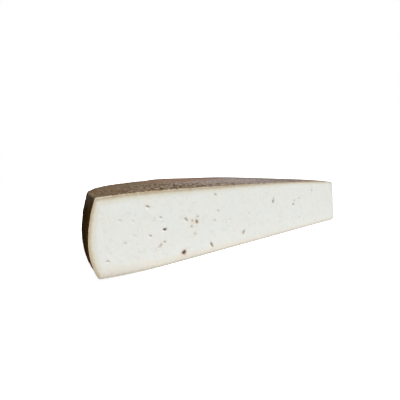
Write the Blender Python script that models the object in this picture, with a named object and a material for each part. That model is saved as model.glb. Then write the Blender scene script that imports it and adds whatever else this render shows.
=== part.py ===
"""A sixth of a wheel of goat tomme, cut from the middle to the heel.

The wedge lies on the wheel's flat underside, in metres with +Z up. Its front cut faces -Y, the
bulging heel of the wheel is at -X and the thin end at +X. The origin is the middle of the wedge's
outer box, on the surface that it lies on. Inside the script a place on the wheel is given by its
radius from the wheel's axis, its height and its share of the way round from the front cut (0) to
the back cut (1).
"""
import math
import random

import bmesh
import bpy
from mathutils import Matrix, Vector, noise

# The wheel and the wedge cut from it
WHEEL_RADIUS = 0.180            # at the belly of the heel, the widest place
WEDGE_ANGLE = math.radians(60)  # a sixth of the wheel
TIP_RADIUS = 0.0005             # the knife leaves the thin end this blunt

# Upper side, which dips from the rim to the wheel's middle
MIDDLE_HEIGHT = 0.0307
RIM_HEIGHT = 0.0408
TOP_BOW = 0.0040                # how much the slope from middle to rim bows up
TIP_NIP = 0.0018                # how far the very tip is pinched down
TIP_NIP_REACH = 0.008
SHOULDER_START = 0.145          # from here the upper side rolls off towards the rim
SHOULDER_DROP = 0.0011
ROLL_HEIGHT = 0.0009            # slow wave of the upper side on its way round the rim
ROLL_SHARE = 1.35               # length of that wave, as a share of the way round
ROLL_RADII = (0.040, 0.160)     # it grows from nothing to its full height between these
SWELL_HEIGHT = 0.0009           # broad swelling half way out, towards the back cut
SWELL_RADIUS = 0.095
SWELL_WIDTH = 0.035

# Heel
RIM_RADIUS = 0.1746
FOOT_RADIUS = 0.1769
BELLY_HEIGHT = 0.0167
HEEL_POWER_UP = 1.8             # how fast the heel draws in above its belly
HEEL_POWER_DOWN = 2.2           # and below it
EDGE_ROUND = 0.0014             # rounding of rim and foot

# Underside, flat in the middle and rolled up a little at the foot
FLAT_RADIUS = 0.135
FOOT_LIFT = 0.0021

# Unevenness of the rind, always pressed in and never raised
RIND_DEPTH = 0.0006
RIND_GRAIN = 0.013              # size of one hollow
CALM_EDGE = 0.010               # next to the cuts the rind keeps its true section

# Fineness of the surface
STATIONS = 32
TOP_STEPS = 22
HEEL_STEPS = 9
BASE_RADII = (0.045, 0.090, FLAT_RADIUS)
ROLLED_STEPS = 5
ROUND_STEPS = 2
FOOT_CORNER = len(BASE_RADII) + ROLLED_STEPS    # place of the foot in the section's outline
RIM_CORNER = FOOT_CORNER + HEEL_STEPS           # and of the rim
SHARP_ANGLE = math.radians(40)                  # steeper edges are shaded sharp

# Eyes that show on the front cut: distance from the tip, height, length, width, depth (all in
# millimetres) and turn of the length from level in degrees
FRONT_EYES = (
    (150.3, 32.0, 2.7, 1.8, 1.0, 20),
    (144.1, 25.3, 1.5, 1.2, 0.7, 0),
    (142.4, 18.8, 2.2, 1.5, 1.8, 10),
    (150.4, 17.0, 1.6, 1.3, 0.6, 60),
    (145.8, 10.6, 3.0, 1.5, 0.9, 40),
    (143.0, 12.3, 1.6, 1.5, 0.8, 0),
    (132.4, 4.1, 2.7, 2.5, 2.4, 30),
    (129.7, 21.8, 2.7, 1.7, 0.9, -50),
    (123.1, 19.4, 2.3, 1.6, 1.6, 90),
    (126.6, 17.4, 1.5, 1.3, 0.8, 40),
    (109.4, 32.8, 1.4, 1.3, 0.8, 0),
    (108.3, 23.2, 1.8, 1.3, 0.8, 0),
    (111.4, 18.2, 2.1, 1.2, 0.6, -10),
    (114.4, 4.5, 3.4, 1.3, 1.2, 105),
    (90.7, 7.2, 2.4, 1.4, 1.2, 60),
    (64.4, 22.9, 2.3, 1.7, 1.4, 75),
    (45.3, 18.0, 1.8, 1.5, 1.2, 30),
    (44.0, 20.6, 1.4, 1.3, 0.7, 0),
)
MM = 0.001

# Eyes of the back cut, strewn evenly by rule
BACK_EYES = 18
EYE_SEED = 11
EYE_SPACING = 0.009
EYE_EDGE = 0.006                # no eye comes nearer to the rind than this
EYE_START = 0.015               # nor nearer to the tip than this
EYE_LENGTHS = (0.0013, 0.0028)
EYE_WIDTH = 0.7                 # as a share of the length
EYE_DEPTH = 0.6                 # as a share of the length
EYE_SEGMENTS = 10
EYE_RINGS = 6
EYE_PROUD = 0.15                # share of an eye's depth by which its ball stands out of the cut

# Plain finishes
PASTE_COLOUR = (0.79, 0.79, 0.74, 1.0)
PASTE_ROUGHNESS = 0.55
RIND_COLOUR = (0.19, 0.12, 0.08, 1.0)
RIND_ROUGHNESS = 0.85


def clear_scene():
    """Remove whatever the opened file holds."""
    for thing in list(bpy.data.objects):
        bpy.data.objects.remove(thing, do_unlink=True)


def eased(value, start, end):
    """0 before start, 1 after end, and a smooth step between them."""
    share = min(max((value - start) / (end - start), 0.0), 1.0)
    return share * share * (3.0 - 2.0 * share)


def top_height(radius, share):
    """Height of the upper side."""
    run = radius / RIM_RADIUS
    height = MIDDLE_HEIGHT + (RIM_HEIGHT - MIDDLE_HEIGHT) * run + TOP_BOW * run * (1.0 - run)
    height -= TIP_NIP * math.exp(-radius / TIP_NIP_REACH)
    shoulder = max((radius - SHOULDER_START) / (RIM_RADIUS - SHOULDER_START), 0.0)
    height -= SHOULDER_DROP * shoulder ** 2
    height += ROLL_HEIGHT * math.sin(2.0 * math.pi * share / ROLL_SHARE) * eased(radius, *ROLL_RADII)
    swell = math.exp(-((radius - SWELL_RADIUS) / SWELL_WIDTH) ** 2)
    return height + SWELL_HEIGHT * share * swell


def base_height(radius):
    """Height of the underside: flat, then a gentle roll up to the foot."""
    rolled = max((radius - FLAT_RADIUS) / (FOOT_RADIUS - FLAT_RADIUS), 0.0)
    return FOOT_LIFT * rolled ** 2


def heel_radius(height, rim_height):
    """Radius of the heel, widest at its belly and drawn in above and below it."""
    if height > BELLY_HEIGHT:
        away = (height - BELLY_HEIGHT) / (rim_height - BELLY_HEIGHT)
        return WHEEL_RADIUS - (WHEEL_RADIUS - RIM_RADIUS) * away ** HEEL_POWER_UP
    away = (BELLY_HEIGHT - height) / (BELLY_HEIGHT - FOOT_LIFT)
    return WHEEL_RADIUS - (WHEEL_RADIUS - FOOT_RADIUS) * away ** HEEL_POWER_DOWN


def section(share):
    """Outline of the wheel's section: (radius, height) from the tip's foot round to its top."""
    outline = [(TIP_RADIUS, 0.0)]
    outline += [(radius, base_height(radius)) for radius in BASE_RADII]
    for step in range(1, ROLLED_STEPS + 1):
        radius = FLAT_RADIUS + (FOOT_RADIUS - FLAT_RADIUS) * step / ROLLED_STEPS
        outline.append((radius, base_height(radius)))
    rim_height = top_height(RIM_RADIUS, share)
    for step in range(1, HEEL_STEPS + 1):
        height = FOOT_LIFT + (rim_height - FOOT_LIFT) * step / HEEL_STEPS
        outline.append((heel_radius(height, rim_height), height))
    for step in range(1, TOP_STEPS + 1):
        radius = RIM_RADIUS + (TIP_RADIUS - RIM_RADIUS) * step / TOP_STEPS
        outline.append((radius, top_height(radius, share)))
    return outline


def along(share):
    """Level direction from the wheel's axis out to the heel."""
    angle = WEDGE_ANGLE * share
    return Vector((-math.cos(angle), math.sin(angle), 0.0))


def loft_wedge():
    """Carry the section round the wheel's axis; the two cuts take material 0, the rind 1."""
    mesh = bmesh.new()
    rings = []
    for station in range(STATIONS + 1):
        share = station / STATIONS
        outward = along(share)
        up = Vector((0.0, 0.0, 1.0))
        rings.append([mesh.verts.new(outward * r + up * z) for r, z in section(share)])
    count = len(rings[0])
    for ring, following in zip(rings, rings[1:]):
        for here in range(count):
            there = (here + 1) % count
            face = mesh.faces.new((ring[here], ring[there], following[there], following[here]))
            face.smooth = True
            face.material_index = 0 if there == 0 else 1
    mesh.faces.new(reversed(rings[0]))
    mesh.faces.new(rings[-1])
    round_edges(mesh, rings)
    bmesh.ops.recalc_face_normals(mesh, faces=mesh.faces)
    return mesh


def round_edges(mesh, rings):
    """Round the rim and the foot of the wheel."""
    edges = []
    for corner in (FOOT_CORNER, RIM_CORNER):
        edges += [mesh.edges.get((a[corner], b[corner])) for a, b in zip(rings, rings[1:])]
    bmesh.ops.bevel(mesh, geom=edges, offset=EDGE_ROUND, offset_type="OFFSET",
                    segments=ROUND_STEPS, profile=0.5, affect="EDGES", clamp_overlap=True)


def press_in_rind(mesh):
    """Give the rind soft hollows, fading out at the cuts, the tip and the flat of the base."""
    mesh.normal_update()
    moves = []
    for vertex in mesh.verts:
        radius = math.hypot(vertex.co.x, vertex.co.y)
        angle = math.atan2(vertex.co.y, -vertex.co.x)
        from_cut = radius * min(math.sin(angle), math.sin(WEDGE_ANGLE - angle))
        off_base = radius if vertex.co.z > FOOT_LIFT else radius - FLAT_RADIUS
        calm = eased(from_cut, 0.0, CALM_EDGE) * eased(off_base, 0.0, CALM_EDGE)
        wave = 0.5 + 0.5 * noise.noise(vertex.co / RIND_GRAIN)
        moves.append((vertex, vertex.normal * (-RIND_DEPTH * wave * calm)))
    for vertex, move in moves:
        vertex.co += move


def cut_frame(share):
    """Turn of an eye's ball on a cut: local X level along the cut, Y up and Z out of the cheese."""
    up = Vector((0.0, 0.0, 1.0))
    angle = WEDGE_ANGLE * share
    outward = Vector((math.sin(angle), math.cos(angle), 0.0)) * (1.0 if share > 0.0 else -1.0)
    return Matrix((up.cross(outward), up, outward)).transposed().to_4x4()


def add_eye(mesh, share, from_tip, height, length, width, depth, turn):
    """Add the ball that presses one eye into a cut."""
    frame = cut_frame(share)
    outward = frame.to_3x3() @ Vector((0.0, 0.0, 1.0))
    centre = along(share) * from_tip + Vector((0.0, 0.0, height)) + outward * depth * EYE_PROUD
    shape = Matrix.Diagonal((length / 2.0, width / 2.0, depth, 1.0))
    matrix = Matrix.Translation(centre) @ frame @ Matrix.Rotation(turn, 4, "Z") @ shape
    bmesh.ops.create_uvsphere(mesh, u_segments=EYE_SEGMENTS, v_segments=EYE_RINGS, radius=1.0,
                              matrix=matrix)


def strew_back_eyes(mesh):
    """Strew eyes over the back cut, none of them near another or near the rind."""
    draw = random.Random(EYE_SEED)
    placed = []
    while len(placed) < BACK_EYES:
        spot = Vector((draw.uniform(EYE_START, RIM_RADIUS - EYE_EDGE), draw.uniform(0.0, RIM_HEIGHT)))
        size = draw.uniform(0.0, 1.0) ** 2
        turn = draw.uniform(-0.5, 0.5) * math.pi
        inside = EYE_EDGE < spot.y < top_height(spot.x, 1.0) - EYE_EDGE
        if not inside or any((spot - other).length < EYE_SPACING for other in placed):
            continue
        placed.append(spot)
        length = EYE_LENGTHS[0] + (EYE_LENGTHS[1] - EYE_LENGTHS[0]) * size
        add_eye(mesh, 1.0, spot.x, spot.y, length, EYE_WIDTH * length, EYE_DEPTH * length, turn)


def make_eye_cutter():
    """All the balls that press the eyes in, as one hidden object."""
    mesh = bmesh.new()
    for from_tip, height, length, width, depth, turn in FRONT_EYES:
        add_eye(mesh, 0.0, from_tip * MM, height * MM, length * MM, width * MM, depth * MM,
                math.radians(turn))
    strew_back_eyes(mesh)
    cutter = make_object("eye_balls", mesh)
    cutter.hide_render = True
    cutter.display_type = "WIRE"
    return cutter


def box_offset(mesh):
    """Move that brings the middle of the mesh's box to the origin, with its base at height 0."""
    lows = [min(vertex.co[axis] for vertex in mesh.verts) for axis in range(3)]
    highs = [max(vertex.co[axis] for vertex in mesh.verts) for axis in range(3)]
    return Vector((-(lows[0] + highs[0]) / 2.0, -(lows[1] + highs[1]) / 2.0, -lows[2]))


def make_object(name, mesh):
    """Put a finished bmesh into an object of this name in the scene."""
    data = bpy.data.meshes.new(name)
    mesh.to_mesh(data)
    mesh.free()
    thing = bpy.data.objects.new(name, data)
    bpy.context.scene.collection.objects.link(thing)
    return thing


def make_material(name, colour, roughness):
    """A plain Principled material."""
    material = bpy.data.materials.new(name)
    material.use_nodes = True
    shader = material.node_tree.nodes["Principled BSDF"]
    shader.inputs["Base Color"].default_value = colour
    shader.inputs["Roughness"].default_value = roughness
    shader.inputs["Metallic"].default_value = 0.0
    return material


def make_wedge():
    """The wedge of cheese, with its eyes cut in."""
    mesh = loft_wedge()
    press_in_rind(mesh)
    offset = box_offset(mesh)
    bmesh.ops.translate(mesh, verts=mesh.verts, vec=offset)
    wedge = make_object("tomme_wedge", mesh)
    wedge.data.materials.append(make_material("paste", PASTE_COLOUR, PASTE_ROUGHNESS))
    wedge.data.materials.append(make_material("rind", RIND_COLOUR, RIND_ROUGHNESS))
    wedge.data.set_sharp_from_angle(angle=SHARP_ANGLE)
    cutter = make_eye_cutter()
    cutter.data.transform(Matrix.Translation(offset))
    cutter.data.materials.append(wedge.data.materials["paste"])
    eyes = wedge.modifiers.new("eyes", "BOOLEAN")
    eyes.operation = "DIFFERENCE"
    eyes.solver = "EXACT"
    eyes.object = cutter
    return wedge


clear_scene()
make_wedge()
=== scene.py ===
"""Looks of a wedge of goat tomme: pale close paste with small eyes in both cuts, under a brown rind with grey bloom.

The wedge is a sixth of a flat wheel. A place in the wheel is given by its distance from the wheel's axis (r), its
height (z) and its share of the way round (0 at the front cut, 1 at the back cut). Lengths are in metres, except in
the list of eyes, which is in millimetres.
"""

from __future__ import annotations

import logging
from dataclasses import dataclass, field
from enum import Enum, IntEnum

import bpy
import numpy as np
from mathutils import Matrix, Vector

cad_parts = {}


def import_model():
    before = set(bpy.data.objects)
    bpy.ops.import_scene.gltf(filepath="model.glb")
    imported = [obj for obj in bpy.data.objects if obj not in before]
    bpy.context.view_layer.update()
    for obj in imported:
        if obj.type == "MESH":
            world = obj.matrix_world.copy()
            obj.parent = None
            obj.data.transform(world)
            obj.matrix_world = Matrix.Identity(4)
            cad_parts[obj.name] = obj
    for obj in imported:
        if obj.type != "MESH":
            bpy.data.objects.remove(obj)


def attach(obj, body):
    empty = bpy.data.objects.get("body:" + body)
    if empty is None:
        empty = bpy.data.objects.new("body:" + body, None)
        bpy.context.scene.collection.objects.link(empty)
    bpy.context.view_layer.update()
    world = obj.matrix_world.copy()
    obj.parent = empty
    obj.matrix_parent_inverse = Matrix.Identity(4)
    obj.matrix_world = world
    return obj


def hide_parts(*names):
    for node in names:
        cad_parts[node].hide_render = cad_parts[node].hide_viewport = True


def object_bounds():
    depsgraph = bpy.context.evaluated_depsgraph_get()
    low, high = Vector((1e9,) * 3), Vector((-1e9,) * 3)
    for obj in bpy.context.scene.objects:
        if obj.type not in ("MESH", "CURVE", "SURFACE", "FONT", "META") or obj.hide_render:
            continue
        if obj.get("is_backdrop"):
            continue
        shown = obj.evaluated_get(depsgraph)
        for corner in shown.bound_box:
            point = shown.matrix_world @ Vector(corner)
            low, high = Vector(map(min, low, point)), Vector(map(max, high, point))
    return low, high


LOG = logging.getLogger("goat_tomme")
NODE = "tomme_wedge"
BODY = "root"
MM = 0.001
AXIS_PAST_CAD = 0.00025
WHITE = (1.0, 1.0, 1.0, 1.0)
AXIS_FACTORS = (374761393, 668265263, 1274126177)
SEED_FACTOR = 1442695041
BIT_MIXING = ((13, 1274126177), (16, 2246822519), (15, 1))
ALL_BITS = 0xFFFFFFFF

Array = np.ndarray
Marks = dict[str, np.ndarray]
Socket = bpy.types.NodeSocket
Colour = tuple[float, float, float, float]


class Cut(Enum):
    """The two cuts, each with its share of the way round."""

    FRONT = 0.0
    BACK = 1.0


class Seed(IntEnum):
    """Which random pattern each thing has."""

    PINS = 3
    SWAY = 5
    BACK_EYES = 8
    ROLL = 11
    HOLLOWS = 21
    LUMPS = 22
    VELVET = 23


def smooth_step(value: Array, low: float, high: float) -> Array:
    """Rises from 0 at low to 1 at high along 3t^2 - 2t^3."""
    t = np.clip((value - low) / (high - low), 0.0, 1.0)
    return t * t * (3.0 - 2.0 * t)


def fade(value: Array, full: float, end: float) -> Array:
    """Falls smoothly from 1 at full to 0 at end."""
    return smooth_step(-value, -end, -full)


def band(value: Array, start: float, full: float, ebb: float, end: float) -> Array:
    """Rises smoothly from 0 at start to 1 at full, and falls back to 0 between ebb and end."""
    return smooth_step(value, start, full) * fade(value, ebb, end)


def soft_noise(place: tuple[Array, Array, Array], grain: float, seed: int) -> Array:
    """Smooth noise from 0 to 1.

    Random values sit at the corners of cubes, and are blended across each cube by the smooth step along all three
    axes. For a value, the corner's three numbers and the seed are each multiplied by a large odd number, and the
    bits of their sum are shifted and mixed.

    Args:
        place: Arrays of x, y and z.
        grain: Side of the cubes.
        seed: Picks one pattern.

    Returns:
        The noise at each place.
    """
    scaled = [np.asarray(axis, dtype=np.float64) / grain for axis in np.broadcast_arrays(*place)]
    cell = [np.floor(axis).astype(np.int64) for axis in scaled]
    blend = [smooth_step(axis - low, 0.0, 1.0) for axis, low in zip(scaled, cell)]
    total = np.zeros(scaled[0].shape)
    for corner in np.ndindex(2, 2, 2):
        share, mixed = 1.0, seed * SEED_FACTOR
        for step, low, part, factor in zip(corner, cell, blend, AXIS_FACTORS):
            share = share * (part if step else 1.0 - part)
            mixed = mixed + (low + step) * factor
        bits = (mixed & ALL_BITS).astype(np.uint32)
        for shift, factor in BIT_MIXING:
            bits = (bits ^ (bits >> np.uint32(shift))) * np.uint32(factor)
        total += share * (bits.astype(np.float64) / ALL_BITS)
    return total


def bend(t: Array, start: Array, corner: Array, end: Array) -> Array:
    """A curve of the second degree from start to end that leaves and arrives along its corner."""
    return (1.0 - t) ** 2 * start + 2.0 * t * (1.0 - t) * corner + t**2 * end


def grid_faces(number: Array, flipped: bool = False) -> Array:
    """Four-cornered faces of a grid of point numbers, turned over where flipped."""
    faces = np.stack([number[:-1, :-1], number[:-1, 1:], number[1:, 1:], number[1:, :-1]], axis=-1).reshape(-1, 4)
    return faces[:, ::-1] if flipped else faces


def share_along(line: Array) -> Array:
    """How far along a line of points each of them lies, from 0 to 1."""
    length = np.concatenate([[0.0], np.cumsum(np.linalg.norm(np.diff(line, axis=0), axis=1))])
    return length / length[-1]


def stitch(first: Array, second: Array, first_line: Array, second_line: Array, flipped: bool = False) -> Array:
    """Triangles between two lines of points that run side by side but have different numbers of points.

    Each piece of a line joins the point of the other line that is level with the middle of that piece.

    Args:
        first, second: Point numbers of the two lines.
        first_line, second_line: Places of their points.
        flipped: Turns every face over.

    Returns:
        One line of three point numbers for each triangle.
    """
    shares = share_along(first_line), share_along(second_line)
    first_middle, second_middle = (0.5 * (share[1:] + share[:-1]) for share in shares)
    across = second[np.searchsorted(second_middle, first_middle, side="left")]
    back = first[np.searchsorted(first_middle, second_middle, side="right")]
    made = np.concatenate(
        [np.stack([first[:-1], first[1:], across], axis=-1), np.stack([second[1:], second[:-1], back], axis=-1)]
    )
    return made[:, ::-1] if flipped else made


def even_points(line: Array, count: int) -> Array:
    """Points spread evenly along a line of points, from one end to the other."""
    share, wanted = share_along(line), np.linspace(0.0, 1.0, count)
    return np.stack([np.interp(wanted, share, axis) for axis in line.T], axis=-1)


def stand(name: str, data: bpy.types.ID) -> bpy.types.Object:
    """Puts a new object into the scene.

    Args:
        name: Its name.
        data: Its mesh, light or camera.

    Returns:
        The object, at the origin.
    """
    made = bpy.data.objects.new(name, data)
    bpy.context.scene.collection.objects.link(made)
    return made


@dataclass
class Surface:
    """A mesh while it is put together: its points, its faces and the numbers kept at each point."""

    name: str
    crease: float = 48.0
    points: list[Array] = field(default_factory=list)
    faces: list[Array] = field(default_factory=list)
    marks: dict[str, list[Array]] = field(default_factory=dict)

    def add_points(self, points: Array, **marks: Array) -> Array:
        """Adds a grid of points.

        Args:
            points: Places, three numbers in the last axis.
            **marks: One number a point under each mark's name.

        Returns:
            The points' numbers, in the same grid.
        """
        shape = points.shape[:-1]
        start = sum(len(block) for block in self.points)
        self.points.append(points.reshape(-1, 3))
        for name, values in marks.items():
            self.marks.setdefault(name, []).append(np.broadcast_to(values, shape).reshape(-1))
        return start + np.arange(np.prod(shape)).reshape(shape)

    def make(self) -> bpy.types.Object:
        """Makes the object, smooth, with edges kept sharp that bend more than the crease in degrees.

        Returns:
            The object, at the origin.
        """
        mesh = bpy.data.meshes.new(self.name)
        faces = [face for block in self.faces for face in block.tolist()]
        mesh.from_pydata(np.concatenate(self.points).tolist(), [], faces, shade_flat=False)
        for name, values in self.marks.items():
            mark = mesh.attributes.new(name, "FLOAT", "POINT")
            mark.data.foreach_set("value", np.concatenate(values).astype(np.float32))
        mesh.set_sharp_from_angle(angle=np.radians(self.crease))
        return stand(self.name, mesh)


@dataclass(frozen=True)
class WheelForm:
    """Shape of the wheel that the wedge is a sixth of, and the wedge's place.

    Args:
        axis_x: Place of the wheel's axis along x.
        front_y: Place of the front cut along y.
    """

    axis_x: float
    front_y: float
    angle: float = np.radians(60.0)
    radius: float = 0.180
    tip_round: float = 0.0002
    tip_corner_over: float = 0.0024
    tip_corner_under: float = 0.0034
    middle_height: float = 0.0307
    rim_height: float = 0.0408
    top_bow: float = 0.0040
    tip_shift: float = 0.0003
    tip_lean: float = 0.0009
    tip_lean_reach: float = 0.015
    tip_nip: float = 0.0018
    tip_nip_reach: float = 0.008
    shoulder_start: float = 0.145
    shoulder_drop: float = 0.0011
    roll_height: float = 0.0009
    roll_share: float = 1.35
    roll_start: float = 0.040
    roll_full: float = 0.160
    swell_height: float = 0.0009
    swell_radius: float = 0.095
    swell_width: float = 0.035
    rim_radius: float = 0.1746
    foot_radius: float = 0.1769
    belly_height: float = 0.0167
    heel_power_up: float = 1.8
    heel_power_down: float = 2.2
    corner: float = 0.0008
    flat_radius: float = 0.135
    foot_lift: float = 0.0021

    def top(self, r: Array, share: Array) -> Array:
        """Height of the top: it rises from the middle to the rim with a bow, dips at the very tip, drops a little at
        the shoulder, rolls slowly on the way round and swells where the back half is widest.

        Args:
            r, share: Place in the wheel.

        Returns:
            The heights.
        """
        t = r / self.rim_radius
        height = self.middle_height + (self.rim_height - self.middle_height) * t + self.top_bow * t * (1.0 - t)
        height = height - self.tip_nip * np.exp(-r / self.tip_nip_reach) - self.tip_corner(r, self.tip_corner_over)
        shoulder = np.clip((r - self.shoulder_start) / (self.rim_radius - self.shoulder_start), 0.0, None)
        roll = np.sin(2.0 * np.pi * share / self.roll_share) * smooth_step(r, self.roll_start, self.roll_full)
        swell = share * np.exp(-(((r - self.swell_radius) / self.swell_width) ** 2))
        return height - self.shoulder_drop * shoulder**2 + self.roll_height * roll + self.swell_height * swell

    def base(self, r: Array) -> Array:
        """Height of the underside: flat, lifted towards the foot by the square of the way, and rounded at the tip."""
        lift = np.clip((r - self.flat_radius) / (self.foot_radius - self.flat_radius), 0.0, None)
        return self.foot_lift * lift**2 + self.tip_corner(r, self.tip_corner_under)

    def tip_corner(self, r: Array, radius: float) -> Array:
        """How much a quarter circle of a radius takes off the corner at the tip."""
        left = np.clip(radius + self.tip_round - r, 0.0, radius)
        return radius - np.sqrt(radius**2 - left**2)

    def heel(self, z: Array, rim: Array) -> Array:
        """Distance of the heel from the axis: full at the belly, and drawn in above and below by a power of the way.

        Args:
            z: Height.
            rim: Height of the rim there.

        Returns:
            The distances.
        """
        up = np.clip((z - self.belly_height) / (rim - self.belly_height), 0.0, None)
        down = np.clip((self.belly_height - z) / (self.belly_height - self.foot_lift), 0.0, None)
        above = self.radius - (self.radius - self.rim_radius) * up**self.heel_power_up
        below = self.radius - (self.radius - self.foot_radius) * down**self.heel_power_down
        return np.where(z > self.belly_height, above, below)

    def tip_reach(self, turn: Array) -> Array:
        """Distance of the rounded tip from the axis: a small circle that touches both cuts, seen from the axis.

        Args:
            turn: Angle from the front cut.

        Returns:
            The distances.
        """
        away = self.tip_round / np.sin(0.5 * self.angle)
        aside = away * np.sin(turn - 0.5 * self.angle)
        return away * np.cos(turn - 0.5 * self.angle) - np.sqrt(np.clip(self.tip_round**2 - aside**2, 0.0, None))

    def outline(self, rows: OutlineRows, share: Array, start: float = 0.0) -> tuple[Array, Array]:
        """The section's outline from the tip along the underside, round the heel and back along the top.

        The two corners are curves of the second degree between a point on either side and the corner itself.

        Args:
            rows: How far along each stretch its rows lie.
            share: Shares of the way round, one a column or one for each row and column.
            start: Least distance from the axis.

        Returns:
            Distances from the axis and heights, one for each row and column.
        """
        under, foot, heel, edge, over = rows.parts()
        share = np.broadcast_to(share, (over[-1] + 1, np.shape(share)[-1]))
        near = np.maximum(self.tip_reach(self.angle * share), start)
        rim = self.top(np.full(share.shape, self.rim_radius), share)
        low, high = self.foot_lift + self.corner, rim - self.corner
        foot_end, rim_end = self.foot_radius - self.corner, self.rim_radius - self.corner
        r, z = np.zeros(share.shape), np.zeros(share.shape)
        r[under] = near[under] + rows.under[:, None] * (foot_end - near[under])
        z[under] = self.base(r[under])
        z[heel] = low + rows.heel[:, None] * (high[heel] - low)
        r[heel] = self.heel(z[heel], rim[heel])
        r[over] = near[over] + rows.over[:, None] * (rim_end - near[over])
        z[over] = self.top(r[over], share[over])
        t = rows.corner[:, None]
        r[foot] = bend(t, foot_end, self.foot_radius, self.heel(np.full(rim[foot].shape, low), rim[foot]))
        z[foot] = bend(t, self.base(np.array(foot_end)), self.foot_lift, low)
        r[edge] = bend(t, self.heel(high[edge], rim[edge]), self.rim_radius, rim_end)
        z[edge] = bend(t, high[edge], rim[edge], self.top(np.full(rim[edge].shape, rim_end), share[edge]))
        return r, z

    def inward(self, r: Array, z: Array) -> tuple[Array, Array]:
        """Direction into the cheese from each point of an outline: its course turned left by a quarter turn.

        Args:
            r, z: The outline's points, one a row.

        Returns:
            The direction along r and along z.
        """
        course_r, course_z = np.gradient(r, axis=0), np.gradient(z, axis=0)
        length = np.hypot(course_r, course_z)
        return -course_z / length, course_r / length

    def inset(self, r: Array, z: Array, depth: Array) -> tuple[Array, Array]:
        """An outline moved into the cheese by a depth."""
        in_r, in_z = self.inward(r, z)
        return r + depth * in_r, z + depth * in_z

    def place(self, r: Array, z: Array, turn: Array) -> Array:
        """Points of the room for places in the wheel.

        The tip leans: its foot stands further out than its top, and the lean fades as e to the power of minus the
        distance over its reach.

        Args:
            r, z: Distance from the axis and height.
            turn: Angle from the front cut.

        Returns:
            The points, three numbers in the last axis.
        """
        lean = self.tip_shift + self.tip_lean * np.clip(1.0 - z / self.middle_height, 0.0, 1.0)
        x = self.axis_x - r * np.cos(turn) + lean * np.exp(-r / self.tip_lean_reach)
        y = self.front_y + r * np.sin(turn)
        return np.stack(np.broadcast_arrays(x, y, z), axis=-1)


@dataclass(frozen=True)
class OutlineRows:
    """How far along each stretch of the outline its rows lie, from 0 to 1; the top's fall from 1 to 0."""

    under: Array
    corner: Array
    heel: Array
    over: Array

    @classmethod
    def spread(cls, under: int, corner: int, heel: int, over: int, tip_steps: tuple[float, ...] = ()) -> OutlineRows:
        """Spreads the rows evenly, with more of them at the tip.

        Args:
            under, corner, heel, over: Numbers of steps along each stretch.
            tip_steps: Extra places close to the tip, as shares.

        Returns:
            The rows.
        """
        even = [np.linspace(0.0, 1.0, steps + 1) for steps in (under, corner, heel, over)]
        low, high = (np.unique(np.concatenate([even[k], tip_steps])) for k in (0, 3))
        return cls(low, even[1][1:-1], even[2], high[::-1])

    def parts(self) -> list[Array]:
        """Row numbers of the underside, the foot, the heel, the rim and the top."""
        counts = [len(part) for part in (self.under, self.corner, self.heel, self.corner, self.over)]
        return np.split(np.arange(sum(counts)), np.cumsum(counts)[:-1])


@dataclass(frozen=True)
class EdgeRoll:
    """The rounding where the rind meets a cut: wider along the top than along the underside, and uneven."""

    form: WheelForm
    over: float = 0.00034
    under: float = 0.00014
    uneven: float = 0.00014
    least_uneven: float = 0.4
    grain: float = 0.0016
    side_gap: float = 0.31
    narrow_below: float = 0.008
    tip_share: float = 0.2

    def radius(self, r: Array, z: Array, share: Array) -> Array:
        """Radius of the rounding: a rise from underside to top plus noise, less where the wedge is narrow.

        Args:
            r, z, share: Place in the wheel.

        Returns:
            The radii.
        """
        rise = smooth_step(z / self.form.rim_height, 0.1, 0.6)
        noise = soft_noise((r, z, np.round(share) * self.side_gap), self.grain, Seed.ROLL)
        uneven = self.uneven * noise * (self.least_uneven + (1.0 - self.least_uneven) * rise)
        wide = np.clip(r * self.form.angle / self.narrow_below, self.tip_share, 1.0)
        return wide * (self.under + (self.over - self.under) * rise + uneven)

    def drop(self, r: Array, z: Array, share: Array, away: Array) -> Array:
        """Depth of the rounding's quarter circle at a distance away from the cut."""
        radius = self.radius(r, z, share)
        return radius - np.sqrt(np.clip(radius**2 - np.clip(radius - away, 0.0, None) ** 2, 0.0, None))


@dataclass(frozen=True)
class Eye:
    """One small hole in a cut, in millimetres: its place, its size along and across its long way, and its depth.

    Its long way slopes by turn, in degrees, against the underside. Painted shade darkens its inside, and it is warm
    brown round the rim, each by 0 to 1.
    """

    from_tip: float
    height: float
    length: float
    width: float
    depth: float
    turn: float
    # painted shade inside the eye, from 0 to 1
    dark: float
    warm: float


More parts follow.
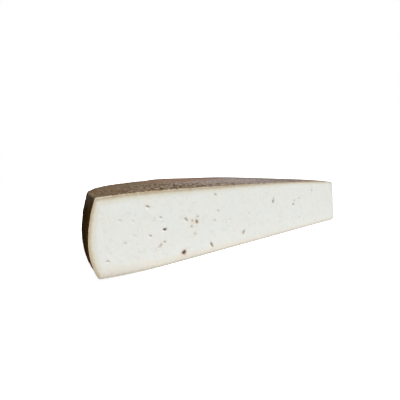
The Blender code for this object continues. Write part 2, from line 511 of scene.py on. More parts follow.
FRONT_EYES = [Eye(*row) for row in (
    (150.3, 31.8, 2.3, 1.2, 0.35, -25, 0.29, 0.3), (144.1, 25.3, 1.8, 1.2, 0.2, 5, 0.26, 0.1),
    (142.2, 18.8, 2.1, 1.5, 1.1, 8, 0.66, 0.2), (150.4, 17.0, 1.7, 1.2, 0.25, -40, 0.30, 0.1),
    (145.8, 10.6, 3.0, 1.3, 0.35, 40, 0.20, 0.5), (143.0, 12.3, 1.6, 1.2, 0.3, 0, 0.26, 0.2),
    (132.4, 4.3, 2.5, 2.2, 1.5, 30, 0.72, 1.0), (129.6, 21.8, 2.7, 1.6, 0.3, -50, 0.26, 0.4),
    (123.1, 19.3, 2.6, 1.8, 0.6, 90, 0.36, 0.7), (126.6, 17.3, 1.9, 1.4, 0.2, 60, 0.26, 0.3),
    (109.4, 32.7, 1.9, 1.6, 0.25, 0, 0.30, 0.3), (108.3, 23.2, 1.9, 1.6, 0.15, 0, 0.22, 0.1),
    (111.4, 18.2, 2.5, 1.7, 0.12, -10, 0.15, 0.1), (114.4, 4.5, 3.2, 1.2, 0.6, 105, 0.38, 0.5),
    (90.7, 7.2, 2.6, 1.4, 0.5, 60, 0.40, 0.5), (64.4, 22.6, 2.3, 1.7, 0.6, 60, 0.42, 0.3),
    (64.0, 24.4, 1.9, 1.0, 0.25, 85, 0.20, 0.4), (45.3, 18.0, 2.0, 1.6, 0.4, 30, 0.34, 0.3),
    (44.0, 20.6, 1.8, 1.1, 0.2, 70, 0.20, 0.3), (125.8, 20.4, 1.7, 1.1, 0.15, 80, 0.10, 0.9),
    (122.4, 22.2, 1.5, 1.2, 0.2, 0, 0.20, 0.3), (124.9, 13.0, 1.9, 1.3, 0.12, 0, 0.12, 0.4),
    (163.3, 16.1, 1.7, 1.5, 0.12, 0, 0.18, 0.1), (158.0, 18.6, 1.2, 1.0, 0.1, 0, 0.10, 0.1),
    (158.3, 25.9, 1.3, 1.1, 0.1, 0, 0.10, 0.1), (164.6, 27.2, 1.6, 1.4, 0.1, 0, 0.12, 0.1),
    (172.3, 9.4, 1.5, 1.2, 0.2, 0, 0.20, 0.3), (100.3, 16.9, 2.0, 0.9, 0.12, -15, 0.10, 0.1),
    (85.5, 18.2, 1.2, 1.0, 0.15, 0, 0.16, 0.1), (58.8, 11.7, 1.1, 1.0, 0.15, 0, 0.16, 0.1),
    (39.4, 21.5, 1.5, 1.2, 0.2, 30, 0.18, 0.2), (40.0, 7.8, 1.6, 1.2, 0.15, 20, 0.14, 0.1),
    (35.4, 5.7, 1.2, 1.0, 0.12, 0, 0.12, 0.1), (24.9, 25.3, 1.3, 1.1, 0.2, 0, 0.16, 0.5),
)]


@dataclass(frozen=True)
class EyeMaker:
    """Presses eyes into the grid of a cut and marks the painted shade inside the eyes and how brown each point is."""

    source: float = 1.6
    reach: float = 2.5
    halo_start: float = 0.8
    halo: float = 1.0
    full_painted_shade: float = 0.55
    wobble: float = 0.07
    clear: tuple[float, ...] = (12.0, 5.0, 3.0, 3.5)
    widths: tuple[float, float] = (0.6, 0.95)
    turns: tuple[float, float] = (0.0, 180.0)
    warmths: tuple[float, float] = (0.0, 0.6)

    def scattered(
        self, form: WheelForm, seed: Seed, count: int, sizes: tuple[float, float], depth: float
    ) -> list[Eye]:
        """Eyes at random places, a few millimetres clear of tip, heel, underside and top; most of them are small.

        Args:
            form: The wheel.
            seed: Picks one pattern.
            count: Number of eyes.
            sizes: Smallest and largest length.
            depth: Depth as a share of the length.

        Returns:
            The eyes.
        """
        chance = np.random.default_rng(seed)
        tip, heel, under, over = self.clear
        made = []
        for _ in range(count):
            r = chance.uniform(tip, form.radius / MM - heel)
            top = float(form.top(np.array(r * MM), np.array(0.5))) / MM
            z = chance.uniform(under, top - over)
            length = sizes[0] + (sizes[1] - sizes[0]) * chance.uniform() ** 2.2
            # painted shade inside a scattered eye: more in longer eyes
            dark = np.clip(0.26 * length - 0.12 + chance.uniform(-0.08, 0.12), 0.03, 0.8)
            width, turn, warm = (chance.uniform(*span) for span in (self.widths, self.turns, self.warmths))
            made.append(Eye(r, z, length, length * width, depth * length, turn, dark, warm))
        return made

    def press(self, r: Array, z: Array, eyes: list[Eye]) -> tuple[Array, Array, Array, Array, Array]:
        """Presses the eyes into a cut.

        In each eye's own measure, where its rim is at 1, the points out to the source distance are drawn together
        into a bowl: a point at share t of that distance goes to sine of a quarter turn times t, at a depth of
        cosine of the same. The points from there to the reach are drawn in so that they meet the rim.

        Args:
            r, z: Place of each point.
            eyes: The eyes.

        Returns:
            New distances, new heights, depth, painted shade and brownness of each point.
        """
        depth, dark, warm = np.zeros_like(r), np.zeros_like(r), np.zeros_like(r)
        for eye in eyes:
            turn = np.radians(eye.turn)
            off_r, off_z = r - eye.from_tip * MM, z - eye.height * MM
            along = -off_r * np.cos(turn) + off_z * np.sin(turn)
            across = off_r * np.sin(turn) + off_z * np.cos(turn)
            way = np.arctan2(across, along)
            waves = np.sin(2.0 * way + eye.from_tip), np.sin(3.0 * way + 3.0 * eye.height)
            rim = 1.0 + self.wobble * waves[0] + self.wobble * waves[1]
            far = np.hypot(along / (0.5 * eye.length * MM), across / (0.5 * eye.width * MM)) / rim
            bowl = np.clip(far / self.source, 0.0, 1.0) * 0.5 * np.pi
            ring = 1.0 + (far - self.source) / (self.reach - self.source) * (self.reach - 1.0)
            new = np.where(far < self.source, np.sin(bowl), np.where(far < self.reach, ring, far))
            scale = new / np.maximum(far, 1e-9)
            r, z = eye.from_tip * MM + off_r * scale, eye.height * MM + off_z * scale
            depth = np.maximum(depth, eye.depth * MM * np.cos(bowl))
            # painted shade, deepest in the bottom of the bowl
            dark = np.maximum(dark, eye.dark * smooth_step(np.cos(bowl), 0.0, self.full_painted_shade))
            past = np.clip(new - self.halo_start, 0.0, None) / self.halo
            warm = np.maximum(warm, eye.warm * np.exp(-(past**2)))
        return r, z, depth, dark, warm


@dataclass
class NodeSheet:
    """Node tree of one material, with short ways to add the nodes that the finishes use."""

    tree: bpy.types.NodeTree

    @classmethod
    def start(cls, name: str) -> tuple[bpy.types.Material, NodeSheet, bpy.types.ShaderNode]:
        """Makes a material with one Principled shader.

        Args:
            name: Name of the material.

        Returns:
            The material, its sheet and the shader.
        """
        material = bpy.data.materials.new(name)
        material.use_nodes = True
        return material, cls(material.node_tree), material.node_tree.nodes["Principled BSDF"]

    def feed(self, node: bpy.types.Node, sockets: dict[int | str, object]) -> bpy.types.Node:
        """Links a node's inputs to other sockets, or sets them to plain values.

        Args:
            node: The node.
            sockets: What each input gets, by the input's number or name.

        Returns:
            The same node.
        """
        for key, value in sockets.items():
            if isinstance(value, Socket):
                self.tree.links.new(value, node.inputs[key])
            else:
                node.inputs[key].default_value = value
        return node

    def add(self, kind: str, *inputs: object, **values: object) -> bpy.types.Node:
        """Adds a node.

        Args:
            kind: The node's type.
            *inputs: What its first inputs get.
            **values: Its own properties.

        Returns:
            The node.
        """
        node = self.tree.nodes.new("ShaderNode" + kind)
        for name, value in values.items():
            setattr(node, name, value)
        return self.feed(node, dict(enumerate(inputs)))

    def mark(self, name: str) -> Socket:
        """A number kept at each point of the mesh."""
        return self.add("Attribute", attribute_name=name).outputs["Fac"]

    def noise(self, size: float, detail: float = 2.0, rough: float = 0.5, place: Socket | None = None) -> Socket:
        """Noise from 0 to 1.

        Args:
            size: Rough size of one blotch.
            detail, rough: Number of finer layers, and the share of each.
            place: Where it is looked up, or else the object's own coordinates.

        Returns:
            The noise's output.
        """
        if place is None:
            place = self.add("TexCoord").outputs["Object"]
        sockets = {"Scale": 1.0 / size, "Detail": detail, "Roughness": rough, "Vector": place}
        return self.feed(self.add("TexNoise"), sockets).outputs["Fac"]

    def math(self, kind: str, *values: object) -> Socket:
        """One sum on numbers or sockets."""
        return self.add("Math", *values, operation=kind).outputs[0]

    def times(self, first: object, second: object) -> Socket:
        """One number times another."""
        return self.math("MULTIPLY", first, second)

    def spread(self, value: object, low: float, high: float, to_low: float = 0.0, to_high: float = 1.0) -> Socket:
        """Maps a number from one span to another, smoothly and held at the ends."""
        return self.add("MapRange", value, low, high, to_low, to_high, interpolation_type="SMOOTHSTEP").outputs[0]

    def mix(self, share: object, first: object, second: object, way: str = "MIX") -> Socket:
        """Blends two colours."""
        node = self.add("Mix", share, data_type="RGBA", blend_type=way)
        return self.feed(node, {6: first, 7: second}).outputs[2]

    def ramp(self, value: object, stops: list[tuple[float, Colour]]) -> Socket:
        """Colours along a number from 0 to 1.

        Args:
            value: The number.
            stops: Places from 0 to 1, each with its colour.

        Returns:
            The colour.
        """
        node = self.add("ValToRGB", value)
        marks = node.color_ramp.elements
        while len(marks) < len(stops):
            marks.new(0.5)
        for mark, (place, colour) in zip(marks, stops):
            mark.position, mark.color = place, colour
        return node.outputs["Color"]

    def bump(self, height: object, strength: float, distance: float, **under: object) -> Socket:
        """Fine relief for the light alone, where a height of 1 stands for the distance in metres."""
        sockets = {"Strength": strength, "Distance": distance, "Height": height, **under}
        return self.feed(self.add("Bump"), sockets).outputs["Normal"]


@dataclass(frozen=True)
class Finish:
    """What both finishes share: how dull they are, and the light on them where the photograph's colours were seen."""

    light: float
    roughness: float

    def tone(self, *seen: float) -> Colour:
        """A shader's colour from red, green and blue on a screen, from 0 to 255, freed of the light on the surface.

        Args:
            *seen: Red, green and blue.

        Returns:
            Linear red, green and blue, and a last 1.
        """
        screen = np.array(seen) / 255.0
        linear = np.where(screen <= 0.04045, screen / 12.92, ((screen + 0.055) / 1.055) ** 2.4) / self.light
        return (*(float(v) for v in linear), 1.0)

    def stops(self, *rows: tuple[float, ...]) -> list[tuple[float, Colour]]:
        """Places along a ramp with their colours, from a place, red, green and blue a row."""
        return [(place, self.tone(*seen)) for place, *seen in rows]


@dataclass(frozen=True)
class PasteFinish(Finish):
    """Cut paste: off-white, faintly moist, cream and tan under the rind, darkened grey-brown in the eyes by painted
    shade.
    """

    light: float = 0.965
    roughness: float = 0.62
    ramp_depth: float = 6.0
    base_depth: float = 8.0

    def material(self) -> bpy.types.Material:
        """Makes the material: a body with curds, ramps of depth under the rind and over the base, crumbs with a
        painted highlight along parts of the rim, and eyes darkened by painted shade.

        Returns:
            The material.
        """
        made, sheet, shader = NodeSheet.start("paste")
        noise, mix, spread, times, mark = sheet.noise, sheet.mix, sheet.spread, sheet.times, sheet.mark
        tone = self.tone
        wander = times(sheet.math("SUBTRACT", noise(0.0016, 3.0, 0.6), 0.5), 1.5)
        body = mix(spread(noise(0.016), 0.35, 0.65), tone(227, 229, 224), tone(228, 228, 222))
        curd = spread(noise(0.0024, 4.0, 0.7), 0.53, 0.70, 0.0, 0.55)
        body = mix(curd, body, tone(213, 213, 206))
        rind_depth = sheet.math("ADD", mark("rind_depth"), wander)
        over = sheet.ramp(sheet.math("DIVIDE", rind_depth, self.ramp_depth), self.stops(
            (0.00, 170, 146, 114), (0.06, 199, 181, 150), (0.15, 187, 170, 142),
            (0.23, 196, 182, 157), (0.32, 209, 201, 181), (0.42, 219, 215, 200),
            (0.55, 222, 220, 209), (0.72, 225, 225, 218), (1.00, 240, 240, 236),
        ))
        crumb = spread(noise(0.0015, 3.0, 0.65), 0.4, 0.6)
        crumbs = mix(crumb, tone(166, 140, 104), tone(234, 219, 194))
        russet = spread(noise(0.016), 0.54, 0.66, 0.0, 0.6)
        crumbs = mix(russet, crumbs, tone(188, 146, 110))
        # pale crumbs, brightened with painted highlight where light catches the crumbled rim by the heel and under
        # part of the top
        crumb_highlight_edge = times(mark("crumb_highlight_edge"), spread(noise(0.003), 0.30, 0.50))
        crumbs = mix(times(crumb_highlight_edge, 0.85), crumbs, tone(240, 230, 211))
        over = mix(spread(mark("rind_depth"), 0.45, 1.05, 0.85, 0.0), over, crumbs)
        base_depth = sheet.math("ADD", mark("base_depth"), wander)
        low = sheet.ramp(sheet.math("DIVIDE", base_depth, self.base_depth), self.stops(
            (0.00, 182, 174, 160), (0.05, 197, 190, 176), (0.11, 209, 202, 188),
            (0.20, 218, 213, 202), (0.36, 226, 222, 213), (1.00, 240, 240, 236),
        ))
        body = mix(1.0, mix(1.0, body, over, "DARKEN"), low, "DARKEN")
        warm = mark("eye_warm")
        # colour of the painted shade inside an eye: grey, browner where the eye is warm
        hole = mix(warm, tone(126, 124, 115), tone(124, 92, 66))
        body = mix(times(warm, 0.4), body, tone(196, 164, 122))
        coarse = sheet.bump(noise(0.004, 3.0), 0.25, 0.0004)
        # the base colour is darkened inside the eyes by painted shade
        sheet.feed(shader, {
            "Base Color": mix(mark("eye_dark"), body, hole), "Roughness": self.roughness,
            "Specular IOR Level": 0.35, "Subsurface Weight": 0.12, "Subsurface Radius": (1.0, 0.85, 0.6),
            "Subsurface Scale": 0.0015, "Normal": sheet.bump(noise(0.0009), 0.3, 0.00015, Normal=coarse),
        })
        return made


@dataclass(frozen=True)
class RindFinish(Finish):
    """Natural rind: dry and brown, greyer towards the middle, brushed in rings and flecked light and dark."""

    light: float = 1.24
    roughness: float = 1.0
    ring_streak: float = 0.0083
    arc_streak: float = 0.0055

    def material(self) -> bpy.types.Material:
        """Makes the material: a ramp from middle to rim with pink, bloom and flecks, and a warmer brown heel darkened
        by painted shade.

        Returns:
            The material.
        """
        made, sheet, shader = NodeSheet.start("rind")
        noise, mix, spread, times, mark = sheet.noise, sheet.mix, sheet.spread, sheet.times, sheet.mark
        tone = self.tone
        top = sheet.ramp(mark("ring"), self.stops(
            (0.00, 232, 226, 212), (0.035, 218, 208, 194), (0.06, 198, 184, 170), (0.10, 168, 152, 139),
            (0.17, 143, 129, 121), (0.34, 155, 147, 147), (0.50, 154, 141, 131), (0.64, 128, 113, 95),
            (0.80, 120, 104, 82), (0.93, 114, 98, 75), (1.00, 100, 86, 61),
        ))
        patch = spread(noise(0.020, 4.0, 0.6), 0.45, 0.62)
        strip = sheet.math("ADD", times(mark("back_strip"), 0.75), 0.22)
        pink = times(strip, sheet.math("ADD", times(patch, 0.4), 0.6))
        top = mix(pink, top, tone(162, 129, 110))
        top = mix(times(mark("bloom"), 0.55), top, tone(176, 160, 154))
        top = mix(times(mark("far_edge"), 0.6), top, tone(112, 102, 98))
        # underside and heel: the rind's warmer brown, made darker than it is by painted shade on the heel that faces
        # away from the light, and lighter near the cuts
        low = mix(spread(noise(0.008, 4.0, 0.6), 0.35, 0.65), tone(66, 49, 24), tone(88, 67, 39))
        low = mix(times(mark("by_cut"), 0.7), low, tone(112, 76, 32))
        on_top = mark("on_top")
        skin = mix(on_top, low, top)
        streak_place = sheet.add(
            "CombineXYZ", sheet.math("DIVIDE", mark("ring"), self.ring_streak),
            sheet.math("DIVIDE", mark("arc"), self.arc_streak),
        )
        streak = noise(1.0, 2.0, 0.55, streak_place.outputs["Vector"])
        grain = noise(0.0024, 4.0, 0.65)
        fleck = sheet.math("ADD", times(streak, 0.65), times(grain, 0.35))
        amount = times(mark("speckle"), on_top)
        pale, dark = (times(spread(fleck, 0.50, end), amount) for end in (0.62, 0.38))
        skin = mix(times(pale, 0.7), skin, tone(200, 186, 168))
        skin = mix(dark, skin, tone(66, 52, 44))
        skin = mix(spread(grain, 0.50, 0.36, 0.0, 0.35), skin, tone(40, 27, 14))
        skin = mix(mark("low_edge"), skin, tone(212, 204, 190))
        coarse = sheet.bump(noise(0.003, 3.0), 0.5, 0.0006)
        sheet.feed(shader, {
            "Base Color": skin, "Roughness": self.roughness, "Specular IOR Level": 0.0,
            "Normal": sheet.bump(grain, 0.7, 0.0005, Normal=coarse),
        })
        return made


@dataclass(frozen=True)
class Paste:
    """The body of the cheese, whose two cut faces show."""

    form: WheelForm
    roll: EdgeRoll
    eyes: EyeMaker = EyeMaker()
    front_columns: int = 480
    back_columns: int = 300
    rows: int = 112
    stations: int = 24
    line_rows: tuple[int, ...] = (900, 24, 240, 900)
    side_rows: tuple[int, ...] = (40, 4, 14, 40)
    tuck: float = 0.00003
    side_depth: float = 0.0012
    side_back: float = 0.0006
    most_back: float = 0.25
    sway: float = 0.00022
    sway_grain: float = 0.028
    sway_calm: float = 3.0
    fresh_at_tip: float = 0.5
    pale_at_tip: float = 0.0014
    pale_at_heel: float = 0.0003
    tan_at_foot: float = 0.25
    crumb_highlight_band: tuple[float, ...] = (0.095, 0.115, 0.135, 0.150)

    def patch(self, share: float, columns: int) -> tuple[Array, Array]:
        """A grid between the four edges of a cut, which lie just inside the rind's rounding.

        It is the blend from bottom to top and the blend from tip to heel, less the blend of the four corners.

        Args:
            share: Share of the way round.
            columns: Number of steps from tip to heel.

        Returns:
            Distances and heights, tip to heel in the first axis and upwards in the second.
        """
        rows = OutlineRows.spread(*self.line_rows)
        r, z = self.form.outline(rows, np.array([share]))
        r, z = self.form.inset(r, z, self.roll.radius(r, z, share) - self.tuck)
        line = np.concatenate([r, z], axis=1)
        foot, rim = (part[len(part) // 2] for part in rows.parts()[1:4:2])
        bottom, top = (even_points(part, columns + 1) for part in (line[: foot + 1], line[rim:][::-1]))
        heel, tip = (even_points(part, self.rows + 1) for part in (line[foot : rim + 1], line[[0, -1]]))
        s = np.linspace(0.0, 1.0, columns + 1)[:, None, None]
        t = np.linspace(0.0, 1.0, self.rows + 1)[None, :, None]
        across = (1.0 - t) * bottom[:, None] + t * top[:, None]
        along = (1.0 - s) * tip[None] + s * heel[None]
        corners = (1.0 - s) * ((1.0 - t) * bottom[0] + t * top[0]) + s * ((1.0 - t) * bottom[-1] + t * top[-1])
        return tuple(np.moveaxis(across + along - corners, -1, 0))

    def depths(self, r: Array, z: Array, share: float) -> Marks:
        """Depth under the rind in millimetres, counted faster towards the tip, and where the rim of a cut gets pale
        crumbs with a painted highlight.

        Args:
            r, z, share: Place in the wheel.

        Returns:
            Depth under the top or heel, depth over the base, and the rim with pale crumbs and painted highlight, as
            marks.
        """
        rim = self.form.top(np.array(self.form.rim_radius), np.array(share))
        below = self.form.top(r, np.full_like(r, share)) - z
        inside = self.form.heel(z, rim) - r + self.pale_at_heel
        fresh = 1.0 + self.fresh_at_tip * fade(r, 0.020, 0.150)
        over = np.minimum(below * fresh + self.pale_at_tip * fade(r, 0.003, 0.014), inside)
        fresh_under = fresh - self.tan_at_foot * smooth_step(r, 0.150, 0.172)
        under = np.minimum((z - self.form.base(r)) * fresh_under, inside)
        # where the crumbled rim gets its painted highlight: by the heel, and in a band of distances under the top
        on_heel = smooth_step(r, 0.166, 0.171) * smooth_step(z, 0.008, 0.018)
        return {
            "rind_depth": np.clip(over, 0.0, None) / MM, "base_depth": np.clip(under, 0.0, None) / MM,
            "crumb_highlight_edge": np.maximum(on_heel, band(r, *self.crumb_highlight_band)),
        }

    def face(self, cut: Cut, columns: int, eyes: list[Eye]) -> tuple[Array, Marks]:
        """One cut face, which sways a little and holds the eyes.

        Args:
            cut: Which cut.
            columns: Number of steps from tip to heel.
            eyes: The eyes in it.

        Returns:
            The points, and the marks at each.
        """
        share = cut.value
        r, z = self.patch(share, columns)
        above = self.depths(r, z, share)
        edge = np.minimum(above["rind_depth"], above["base_depth"])
        # dark is the painted shade inside the eyes
        r, z, depth, dark, warm = self.eyes.press(r, z, eyes)
        calm = smooth_step(np.minimum(edge, (r - r[0, 0]) / MM), 0.0, self.sway_calm)
        recess = depth + self.sway * soft_noise((r, z, np.full_like(r, share)), self.sway_grain, Seed.SWAY) * calm
        turn = self.form.angle * share
        inward = np.array([np.sin(turn), np.cos(turn), 0.0]) * (1.0 if cut is Cut.FRONT else -1.0)
        points = self.form.place(r, z, np.full_like(r, turn)) + recess[..., None] * inward
        return points, {**self.depths(r, z, share), "eye_dark": dark, "eye_warm": warm}

    def ring(self, grid: Array) -> Array:
        """The underside, the heel and the top of a cut's grid, from the tip and back to it."""
        return np.concatenate([grid[:, 0], grid[-1, 1:], grid[:-1, -1][::-1]])

    def make(self) -> bpy.types.Object:
        """Builds the closed body: two fine cut faces, the rounded tip and coarse sides under the rind.

        Returns:
            The object.
        """
        form, body = self.form, Surface("paste")
        pins = self.eyes.scattered(form, Seed.PINS, 16, (0.5, 0.8), 0.22)
        front_points, marks = self.face(Cut.FRONT, self.front_columns, [*FRONT_EYES, *pins])
        front = body.add_points(front_points, **marks)
        back_eyes = self.eyes.scattered(form, Seed.BACK_EYES, 46, (0.8, 2.9), 0.34)
        back_points, marks = self.face(Cut.BACK, self.back_columns, back_eyes)
        back = body.add_points(back_points, **marks)

        turns = np.linspace(0.0, form.angle, self.stations + 1)[1:-1]
        shares = turns / form.angle
        near = form.tip_reach(turns)
        low = form.base(near) + self.roll.radius(near, 0.0 * near, shares) - self.tuck
        top = form.top(near, shares)
        top = top - self.roll.radius(near, top, shares) + self.tuck
        t = np.linspace(0.0, 1.0, self.rows + 1)[None, :]
        tip_z = (1.0 - t) * low[:, None] + t * top[:, None]
        tip_r = np.broadcast_to(near[:, None], tip_z.shape)
        marks = self.depths(tip_r, tip_z, 0.5)
        tip = body.add_points(form.place(tip_r, tip_z, turns[:, None]), **marks, eye_dark=0.0, eye_warm=0.0)

        r, z = form.inset(*form.outline(OutlineRows.spread(*self.side_rows), shares), self.side_depth)
        back_turn = np.minimum(self.side_back / r, self.most_back * form.angle)
        side_points = form.place(r, z, np.clip(turns, back_turn, form.angle - back_turn))[1:-1]
        deep = {"rind_depth": 1.0, "base_depth": 1.0, "crumb_highlight_edge": 0.0, "eye_dark": 0.0, "eye_warm": 0.0}
        side = body.add_points(side_points, **deep)
        loft = np.concatenate([tip[:, :1].T, side, tip[:, -1:].T])
        wrap = np.concatenate([front[:1], tip, back[:1]])
        body.faces += [grid_faces(front), *(grid_faces(grid, True) for grid in (back, wrap, loft))]

        coarse_line = np.stack([r[:, 0], z[:, 0]], axis=-1)
        for number, points, column, flipped in ((front, front_points, 0, False), (back, back_points, -1, True)):
            x, y, height = self.ring(points).T
            line = np.stack([np.hypot(x - form.axis_x, y - form.front_y), height], axis=-1)
            body.faces.append(stitch(self.ring(number), loft[:, column], line, coarse_line, flipped))
        return body.make()


@dataclass(frozen=True)
class Rind:
    """The skin over underside, heel and top, with its uneven surface and its cut edges."""

    form: WheelForm
    roll: EdgeRoll
    least_x: float
    most_z: float
    columns: int = 248
    inner_columns: int = 31
    fine_rows: tuple[int, ...] = (76, 7, 56, 196)
    coarse_rows: tuple[int, ...] = (12, 2, 6, 24)
    tip_steps: tuple[float, ...] = (0.02, 0.06, 0.15, 0.35, 0.6, 1.0, 1.5)
    edge_steps: tuple[float, ...] = (0.0, 0.08, 0.3, 0.62)
    edge_width: float = 0.0005
    thickness: float = 0.0022
    edge_back: float = 0.001
    edge_back_width: float = 0.01
    inner_start: float = 0.006
    lip_in: float = 0.00008
    lip_back: float = 0.00035
    lip_most_back: float = 0.25
    lip_from_tip: float = 0.0008
    proud: float = 0.00028
    proud_reach: float = 0.0008
    least_sunk: float = 0.35
    hollow: float = 0.0006
    lump: float = 0.00042
    velvet: float = 0.00018
    grains: tuple[float, ...] = (0.013, 0.0030, 0.0015)
    velvet_calm: float = 0.0015
    calm: float = 0.004
    strip_band: tuple[float, ...] = (0.075, 0.105, 0.140, 0.155)
    speckle_band: tuple[float, ...] = (0.060, 0.100, 0.130, 0.165)
    bloom_band: tuple[float, ...] = (0.040, 0.070, 0.105, 0.135)
    far_edge_band: tuple[float, ...] = (0.030, 0.060, 0.100, 0.130)

    def angles(self, r: Array, columns: int, edges: bool) -> Array:
        """Angles of the columns in each row: some close to each cut, the rest spread evenly between.

        Args:
            r: Distance of each row from the axis.
            columns: Number of even steps.
            edges: Whether the close columns are wanted.

        Returns:
            Angles, one row for each r.
        """
        width = r[:, None] * self.form.angle
        even = np.linspace(0.0, 1.0, columns + 1)[None, :]
        if not edges:
            return even * width / r[:, None]
        close = self.edge_width * np.clip(width / self.roll.narrow_below, self.roll.tip_share, 1.0)
        steps = np.array(self.edge_steps) * close
        even = close + even * (width - 2.0 * close)
        return np.concatenate([steps, even, (width - steps)[:, ::-1]], axis=1) / r[:, None]

    def shell(self, rows: OutlineRows, columns: int, outer: bool) -> tuple[Array, Marks]:
        """The outer or the inner side of the rind.

        The outer side sinks into hollows and lumps, which fade where there is no room for them, and by the cuts
        and the tip. Round its rim lies one more line of points, a lip that turns in behind the cuts and the tip.

        Args:
            rows: Rows along the outline.
            columns: Number of even steps round the wedge.
            outer: Whether it is the outer side, with its relief.

        Returns:
            The points, and the marks at each.
        """
        form, start = self.form, 0.0 if outer else self.inner_start
        even_r, _ = form.outline(rows, np.array([0.0]), start)
        turn = self.angles(even_r[:, 0], columns, outer)
        share = turn / form.angle
        r, z = form.outline(rows, share, start)
        width = even_r * form.angle
        away = np.minimum(np.minimum(turn, form.angle - turn) * even_r, r - form.tip_reach(turn))
        marks = self.marks(r, z, share, away, rows)
        if not outer:
            back = self.edge_back * np.clip(width / self.edge_back_width, 0.0, 1.0) / even_r
            return form.place(*form.inset(r, z, self.thickness), back + share * (form.angle - 2.0 * back)), marks
        place = np.moveaxis(form.place(r, z, turn), -1, 0)
        seeds = (Seed.HOLLOWS, Seed.LUMPS, Seed.VELVET)
        hollows, lumps, velvet = (soft_noise(place, grain, seed) for grain, seed in zip(self.grains, seeds))
        room = np.minimum(np.minimum(self.most_z - z, z), place[0] - self.least_x)
        room = np.clip(room / self.proud_reach, 0.0, 1.0)
        sunk = self.hollow * smooth_step(hollows, 0.35, 0.9) + self.lump * lumps
        sunk = sunk * (self.least_sunk + (1.0 - self.least_sunk) * room)
        depth = (sunk - self.proud * room) * smooth_step(away, 0.0, self.calm)
        depth = depth + self.velvet * velvet * smooth_step(away, 0.0, self.velvet_calm)
        depth = depth * smooth_step(width, 0.002, 0.03) + self.roll.drop(r, z, share, np.clip(away, 0.0, None))

        in_r, in_z = form.inward(r, z)
        grids = (r + depth * in_r, z + depth * in_z, turn, in_r, in_z)
        r, z, turn, in_r, in_z = (np.pad(values, 1, mode="edge") for values in grids)
        lip = np.pad(np.zeros(share.shape, dtype=bool), 1, constant_values=True)
        r = np.where(lip, np.maximum(r + self.lip_in * in_r, self.lip_from_tip), r)
        z = np.where(lip, z + self.lip_in * in_z, z)
        back = np.minimum(self.lip_back / r, self.lip_most_back * form.angle)
        turn = np.where(lip, back + turn * (1.0 - 2.0 * back / form.angle), turn)
        return form.place(r, z, turn), {name: np.pad(values, 1, mode="edge") for name, values in marks.items()}

    def marks(self, r: Array, z: Array, share: Array, away: Array, rows: OutlineRows) -> Marks:
        """Where the rind looks different, and how far round and out each point lies.

        Args:
            r, z, share: Place in the wheel.
            away: Distance from the nearest cut.
            rows: Rows along the outline.

        Returns:
            The marks.
        """
        on_top = smooth_step(z / self.form.rim_height, 0.80, 0.97)
        on_top[-len(rows.over) :] = 1.0
        on_top[: len(rows.under)] = 0.4
        from_back = (1.0 - share) * self.form.angle * r
        back_strip = smooth_step(share, 0.35, 0.8) * band(r, *self.strip_band)
        speckle = band(r, *self.speckle_band) * fade(share, 0.2, 0.5)
        bloom = band(r, *self.bloom_band) * smooth_step(share, 0.12, 0.30)
        return {
            "ring": r / self.form.radius, "arc": r * share * self.form.angle, "on_top": on_top,
            "back_strip": back_strip,
            "far_edge": fade(from_back, 0.005, 0.013) * band(r, *self.far_edge_band),
            "bloom": bloom * smooth_step(from_back, 0.006, 0.016) * (1.0 - back_strip),
            "speckle": (0.32 + 0.68 * speckle - 0.2 * back_strip) * smooth_step(r, 0.004, 0.030),
            "low_edge": fade(z, 0.0025, 0.004) * fade(away, 0.0003, 0.0007),
            "by_cut": fade(away, 0.0, 0.010),
        }

    def sides(self, grid: Array) -> tuple[Array, ...]:
        """The four sides of a grid, one after the other."""
        return grid[:, 0], grid[-1], grid[::-1, -1], grid[0, ::-1]

    def make(self) -> bpy.types.Object:
        """Builds the closed skin: a fine outer side, a coarse inner side and the walls between.

        Returns:
            The object.
        """
        skin = Surface("rind")
        tip_steps = tuple(step * MM / self.form.radius for step in self.tip_steps)
        outer_points, marks = self.shell(OutlineRows.spread(*self.fine_rows, tip_steps), self.columns, True)
        outer = skin.add_points(outer_points, **marks)
        inner_points, marks = self.shell(OutlineRows.spread(*self.coarse_rows), self.inner_columns, False)
        inner = skin.add_points(inner_points, **marks)
        skin.faces += [grid_faces(outer, True), grid_faces(inner)]
        for lines in zip(*(self.sides(grid) for grid in (outer, inner, outer_points, inner_points))):
            skin.faces.append(stitch(*lines, flipped=True))
        return skin.make()


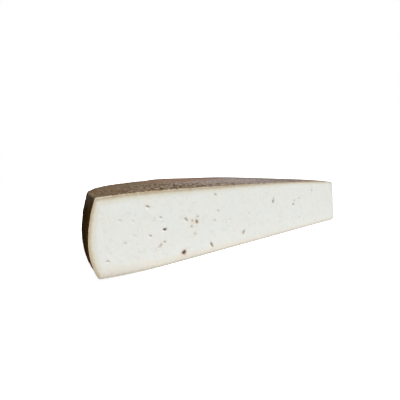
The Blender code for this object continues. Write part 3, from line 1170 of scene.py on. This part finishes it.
@dataclass(frozen=True)
class Studio:
    """Pale floor, soft lights and the camera."""

    form: WheelForm
    lens: float = 25.42
    sensor: float = 36.0
    clip: tuple[float, float] = (0.005, 50.0)
    from_axis: tuple[float, float, float] = (-0.1997046, -0.1310065, 0.0503027)
    yaw: float = 0.5474
    pitch: float = 0.124
    roll: float = -0.0795
    floor_light: float = 0.5
    floor_glow: float = 0.90
    floor_reach: float = 4.0
    floor_drop: float = 0.00005
    key_towards: tuple[float, float, float] = (0.45, -0.48, 0.75)
    key_spread: float = 20.0
    key_strength: float = 3.7
    surround: float = 0.24

    def camera(self) -> None:
        """Puts the camera where the photograph was taken from: turned by yaw, tipped down by pitch and rolled."""
        data = bpy.data.cameras.new("camera")
        data.lens, data.sensor_width = self.lens, self.sensor
        data.clip_start, data.clip_end = self.clip
        camera = bpy.context.scene.camera = stand("camera", data)
        turns = (-self.yaw, "Z"), (0.5 * np.pi - self.pitch, "X"), (self.roll, "Z")
        yaw, pitch, roll = (Matrix.Rotation(turn, 4, axis) for turn, axis in turns)
        place = Vector((self.form.axis_x, self.form.front_y, 0.0)) + Vector(self.from_axis)
        camera.matrix_world = Matrix.Translation(place) @ yaw @ pitch @ roll

    def floor(self) -> None:
        """A wide pale floor that glows a little to the camera, so that the shadow on it stays faint."""
        mesh = bpy.data.meshes.new("floor")
        turn = np.linspace(0.0, 2.0 * np.pi, 97)[:-1]
        rim = self.floor_reach * np.stack([np.cos(turn), np.sin(turn), np.zeros_like(turn)], axis=-1)
        mesh.from_pydata((rim - (0.0, 0.0, self.floor_drop)).tolist(), [], [list(range(len(rim)))])
        made, sheet, shader = NodeSheet.start("floor")
        seen = sheet.add("LightPath").outputs["Is Camera Ray"]
        sheet.feed(shader, {
            "Base Color": sheet.mix(seen, (self.floor_light,) * 3 + (1.0,), (0.93, 0.93, 0.925, 1.0)),
            "Emission Color": WHITE, "Emission Strength": sheet.times(seen, self.floor_glow),
            "Roughness": 0.9, "Specular IOR Level": 0.0,
        })
        mesh.materials.append(made)
        stand("floor", mesh)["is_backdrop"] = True

    def key(self) -> None:
        """One soft light that is too far away to fade across the floor."""
        data = bpy.data.lights.new("key", "SUN")
        data.angle, data.energy = np.radians(self.key_spread), self.key_strength
        light = stand("key", data)
        light.rotation_mode = "QUATERNION"
        light.rotation_quaternion = (-Vector(self.key_towards).normalized()).to_track_quat("-Z", "Y")

    def world(self) -> None:
        """A white surround that the camera sees as white and that lights the cheese softly."""
        world = bpy.data.worlds.new("surround")
        bpy.context.scene.world = world
        world.use_nodes = True
        sheet = NodeSheet(world.node_tree)
        seen = sheet.add("LightPath").outputs["Is Camera Ray"]
        strength = sheet.spread(seen, 0.0, 1.0, self.surround, 1.0)
        sheet.feed(world.node_tree.nodes["Background"], {"Color": WHITE, "Strength": strength})

    def set_up(self) -> None:
        """Makes the floor, the light, the surround and the camera."""
        bpy.context.scene.view_settings.view_transform = "Standard"
        for part in (self.floor, self.key, self.world, self.camera):
            part()


def main() -> None:
    """Loads the frame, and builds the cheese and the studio."""
    logging.basicConfig(level=logging.INFO, format="%(name)s: %(message)s")
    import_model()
    cad_low, cad_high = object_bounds()
    form = WheelForm(axis_x=cad_high.x + AXIS_PAST_CAD, front_y=cad_low.y)
    roll = EdgeRoll(form)
    paste = Paste(form, roll).make()
    paste.data.materials.append(PasteFinish().material())
    rind = Rind(form, roll, cad_low.x, cad_high.z).make()
    rind.data.materials.append(RindFinish().material())
    for piece, slot in ((paste, "paste"), (rind, "rind")):
        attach(piece, BODY)
        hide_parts(NODE)
        triangles = sum(len(face.vertices) - 2 for face in piece.data.polygons)
        LOG.info("%s: %d triangles", piece.name, triangles)
    Studio(form).set_up()


if __name__ == "__main__":
    main()
